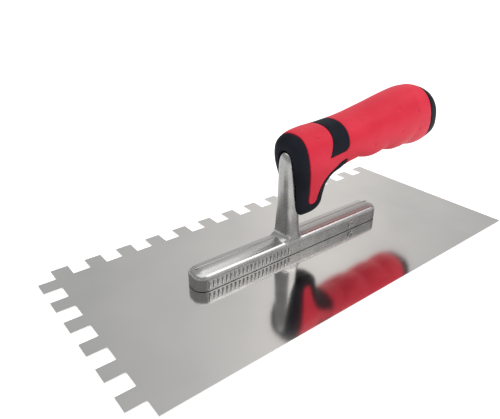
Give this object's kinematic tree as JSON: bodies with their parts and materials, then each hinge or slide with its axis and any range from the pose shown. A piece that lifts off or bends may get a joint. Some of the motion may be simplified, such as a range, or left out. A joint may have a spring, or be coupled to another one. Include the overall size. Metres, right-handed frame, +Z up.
{
  "type": "notched trowel",
  "caption": "Adhesive trowel: flat rectangular steel blade with square notches on one long and one short edge, cast bar and post, and a two-material pistol grip.",
  "frame": {"origin": "centre of the blade's working face, which is the centre of the bounding box's bottom", "axes": "+X along the blade from its notched short edge to its plain short edge, +Y across it towards its notched long edge, +Z up towards the handle"},
  "size_m": [0.28, 0.13, 0.09],
  "materials": {
    "blade_steel": "lightly brushed, near mirror",
    "rivet_steel": "ground flush",
    "adhesive": "matte",
    "cast_aluminium": "satin, vibratory polished",
    "hard_plastic": "satin",
    "soft_grip": "matte",
    "plated_steel": "zinc plated"
  },
  "bodies": {
    "root": {"blade": "blade_steel", "blade_rivets": "rivet_steel", "bond_film": "adhesive", "support_bar": "cast_aluminium", "handle_core": "hard_plastic", "grip_sleeve": "soft_grip", "end_cap": "hard_plastic", "handle_screw": "plated_steel", "screw_washer": "plated_steel"}
  },
  "joints": []
}
